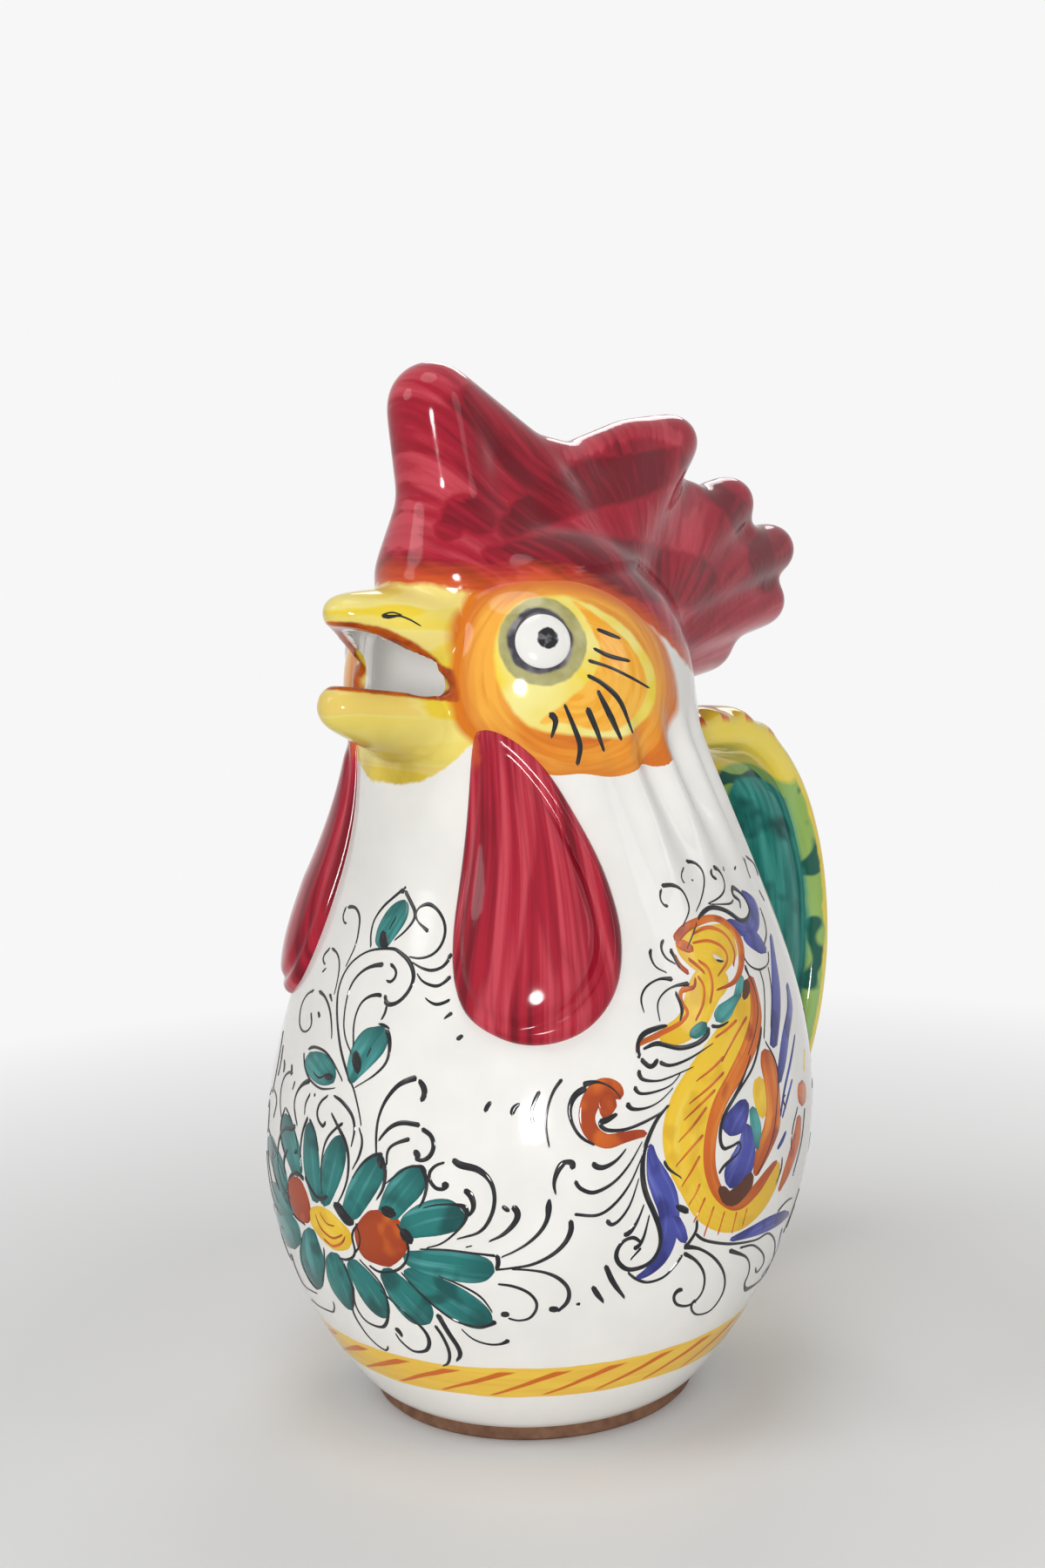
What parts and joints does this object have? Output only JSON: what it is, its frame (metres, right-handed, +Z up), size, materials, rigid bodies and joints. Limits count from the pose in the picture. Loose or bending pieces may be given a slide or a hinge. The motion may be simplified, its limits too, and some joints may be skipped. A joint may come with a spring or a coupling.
{
  "type": "rooster pitcher",
  "caption": "Egg-bodied glazed pitcher shaped as a rooster: it fills and pours through the open beak, has a comb, wattles and eyes, and a strap handle behind.",
  "frame": {"origin": "centre of the foot, on the surface that the pitcher stands on", "axes": "+Z up, the beak points along -Y, the handle stands behind along +Y, +X is the rooster's left side"},
  "size_m": [0.1624, 0.2096, 0.2998],
  "materials": {
    "white_glaze": "gloss",
    "yellow_glaze": "gloss",
    "orange_glaze": "gloss",
    "red_glaze": "gloss",
    "teal_glaze": "gloss",
    "blue_glaze": "gloss",
    "black_glaze": "gloss",
    "clay": "matte"
  },
  "bodies": {
    "root": {"foot_ring": "clay", "body_shell": "white_glaze", "head_shell": "white_glaze", "upper_beak": "yellow_glaze", "lower_beak": "yellow_glaze", "comb": "red_glaze", "left_wattle": "red_glaze", "right_wattle": "red_glaze", "left_cheek": "orange_glaze", "right_cheek": "orange_glaze", "left_eye": "white_glaze", "right_eye": "white_glaze", "handle": "teal_glaze"}
  },
  "joints": []
}
